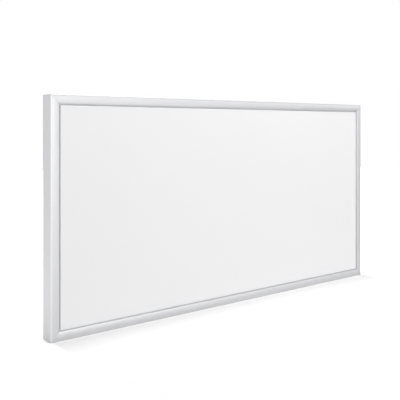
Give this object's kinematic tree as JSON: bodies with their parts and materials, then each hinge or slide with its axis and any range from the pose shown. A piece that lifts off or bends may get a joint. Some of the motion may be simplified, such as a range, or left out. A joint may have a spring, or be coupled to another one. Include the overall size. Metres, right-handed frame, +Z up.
{
  "type": "electric panel heater",
  "caption": "Flat far-infrared panel heater: a mitred aluminium frame with a crowned face round a matt white heating plate, with a terminal box and keyhole hangers behind.",
  "frame": {"origin": "centre of the bounding box's base, under the middle of the bottom rail", "axes": "+Z up, +X along the length, the heated front faces -Y"},
  "size_m": [1.195, 0.042, 0.595],
  "materials": {
    "frame_anodised": "satin anodised, brushed along each rail",
    "corner_key_casting": "as cast",
    "front_enamel": "matt white powder enamel",
    "back_enamel": "satin white powder enamel",
    "seal_silicone": "matt grey silicone",
    "carbon_film": "printed carbon film in clear laminate",
    "busbar_copper": "tinned copper strip",
    "reflector": "bright foil",
    "insulation": "pressed mineral fibre",
    "hanger_steel": "zinc-plated pressed steel",
    "fastener_zinc": "zinc plate",
    "nylon": "natural nylon",
    "box_moulding": "fine spark-eroded texture",
    "block_moulding": "satin",
    "gland_moulding": "satin grey",
    "lead_brown": "satin sheath",
    "lead_blue": "satin sheath",
    "lead_green": "satin sheath"
  },
  "bodies": {
    "casing": {"frame_rail_top": "frame_anodised", "frame_rail_bottom": "frame_anodised", "frame_rail_left": "frame_anodised", "frame_rail_right": "frame_anodised", "corner_key_top_left": "corner_key_casting", "corner_key_top_right": "corner_key_casting", "corner_key_bottom_left": "corner_key_casting", "corner_key_bottom_right": "corner_key_casting", "front_plate": "front_enamel", "plate_seal": "seal_silicone", "heating_laminate": "carbon_film", "busbar_top": "busbar_copper", "busbar_bottom": "busbar_copper", "reflector_foil": "reflector", "insulation_board": "insulation", "back_sheet": "back_enamel", "back_sheet_screw_1": "fastener_zinc", "back_sheet_screw_2": "fastener_zinc", "back_sheet_screw_3": "fastener_zinc", "back_sheet_screw_4": "fastener_zinc", "back_sheet_screw_5": "fastener_zinc", "back_sheet_screw_6": "fastener_zinc", "back_sheet_screw_7": "fastener_zinc", "back_sheet_screw_8": "fastener_zinc", "back_sheet_screw_9": "fastener_zinc", "back_sheet_screw_10": "fastener_zinc", "hanger_pivot_top_left": "fastener_zinc", "hanger_washer_top_left": "nylon", "hanger_pivot_top_right": "fastener_zinc", "hanger_washer_top_right": "nylon", "hanger_pivot_bottom_left": "fastener_zinc", "hanger_washer_bottom_left": "nylon", "hanger_pivot_bottom_right": "fastener_zinc", "hanger_washer_bottom_right": "nylon", "terminal_box": "box_moulding", "terminal_cover": "box_moulding", "terminal_cover_screw_1": "fastener_zinc", "terminal_box_screw_1": "fastener_zinc", "terminal_cover_screw_2": "fastener_zinc", "terminal_box_screw_2": "fastener_zinc", "lead_bushing": "nylon", "terminal_block": "block_moulding", "cable_gland": "gland_moulding", "gland_nut": "gland_moulding", "gland_locknut": "gland_moulding", "gland_seal": "seal_silicone", "earth_stud": "fastener_zinc", "earth_tag": "fastener_zinc", "earth_nut": "fastener_zinc", "thermal_cutout": "gland_moulding", "live_lead": "lead_brown", "cutout_lead": "lead_brown", "neutral_lead": "lead_blue", "earth_lead": "lead_green"},
    "hanger_arm_top_left": {"hanger_top_left": "hanger_steel"},
    "hanger_arm_top_right": {"hanger_top_right": "hanger_steel"},
    "hanger_arm_bottom_left": {"hanger_bottom_left": "hanger_steel"},
    "hanger_arm_bottom_right": {"hanger_bottom_right": "hanger_steel"}
  },
  "joints": [
    {"name": "turn_hanger_top_left", "type": "hinge", "parent": "casing", "child": "hanger_arm_top_left", "pos_m": [-0.4925, 0.0025, 0.475], "axis": [0, 1, 0], "range_deg": [0, 90]},
    {"name": "turn_hanger_top_right", "type": "hinge", "parent": "casing", "child": "hanger_arm_top_right", "pos_m": [0.4925, 0.0025, 0.475], "axis": [0, 1, 0], "range_deg": [0, 90]},
    {"name": "turn_hanger_bottom_left", "type": "hinge", "parent": "casing", "child": "hanger_arm_bottom_left", "pos_m": [-0.4925, 0.0025, 0.09], "axis": [0, 1, 0], "range_deg": [0, 90]},
    {"name": "turn_hanger_bottom_right", "type": "hinge", "parent": "casing", "child": "hanger_arm_bottom_right", "pos_m": [0.4925, 0.0025, 0.09], "axis": [0, 1, 0], "range_deg": [0, 90]}
  ]
}
